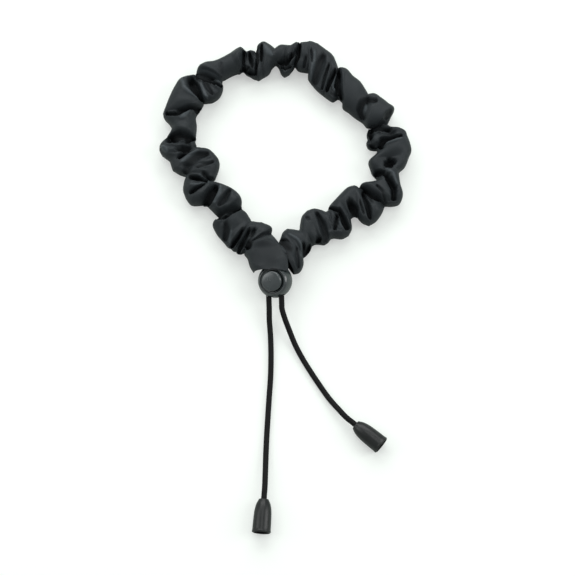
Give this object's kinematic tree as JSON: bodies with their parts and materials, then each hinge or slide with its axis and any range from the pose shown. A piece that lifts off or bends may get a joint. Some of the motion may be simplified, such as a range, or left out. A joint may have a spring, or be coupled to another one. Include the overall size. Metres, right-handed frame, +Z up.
{
  "type": "drawcord wrist band",
  "caption": "Ruched fabric wrist band on a round elastic drawcord, with a sprung ball cord lock and bell-shaped cord ends.",
  "frame": {"origin": "centre of the band's box, with the ball lock and without the free tails, on the table that the band lies on", "axes": "+Z up from the table, -Y from the band towards the ball lock and the free tails, +X to the right as seen from the tails"},
  "size_m": [0.12, 0.2374, 0.0168],
  "materials": {
    "satin": "black polyester satin, soft sheen, gathered into folds",
    "cord": "black braided sleeve on an elastic core",
    "bell_plastic": "moulded black plastic, satin",
    "lock_plastic": "moulded black plastic, semi-gloss",
    "spring_steel": "bright drawn wire"
  },
  "bodies": {
    "band": {"casing": "satin", "drawcord": "cord", "cord_tail_left": "cord", "cord_tail_right": "cord", "knot_left": "cord", "knot_right": "cord"},
    "lock": {"lock_barrel": "lock_plastic", "lock_spring": "spring_steel"},
    "button": {"lock_button": "lock_plastic"},
    "left_bell": {"bell_left": "bell_plastic"},
    "right_bell": {"bell_right": "bell_plastic"}
  },
  "joints": [
    {"name": "lock_slide", "type": "slide", "parent": "band", "child": "lock", "axis": [0.0335, -0.9607, -0.2756], "range_m": [0, 0.004]},
    {"name": "button_press", "type": "slide", "parent": "lock", "child": "button", "axis": [0.2997, 0.2728, -0.9142], "range_m": [0, 0.002], "stiffness_N_per_m": 700, "deforming": ["lock_spring"]},
    {"name": "bell_left_slide", "type": "slide", "parent": "band", "child": "left_bell", "axis": [0.073, 0.9964, -0.0436], "range_m": [0, 0.005]},
    {"name": "bell_right_slide", "type": "slide", "parent": "band", "child": "right_bell", "axis": [-0.7693, 0.6374, -0.0436], "range_m": [0, 0.005]}
  ]
}
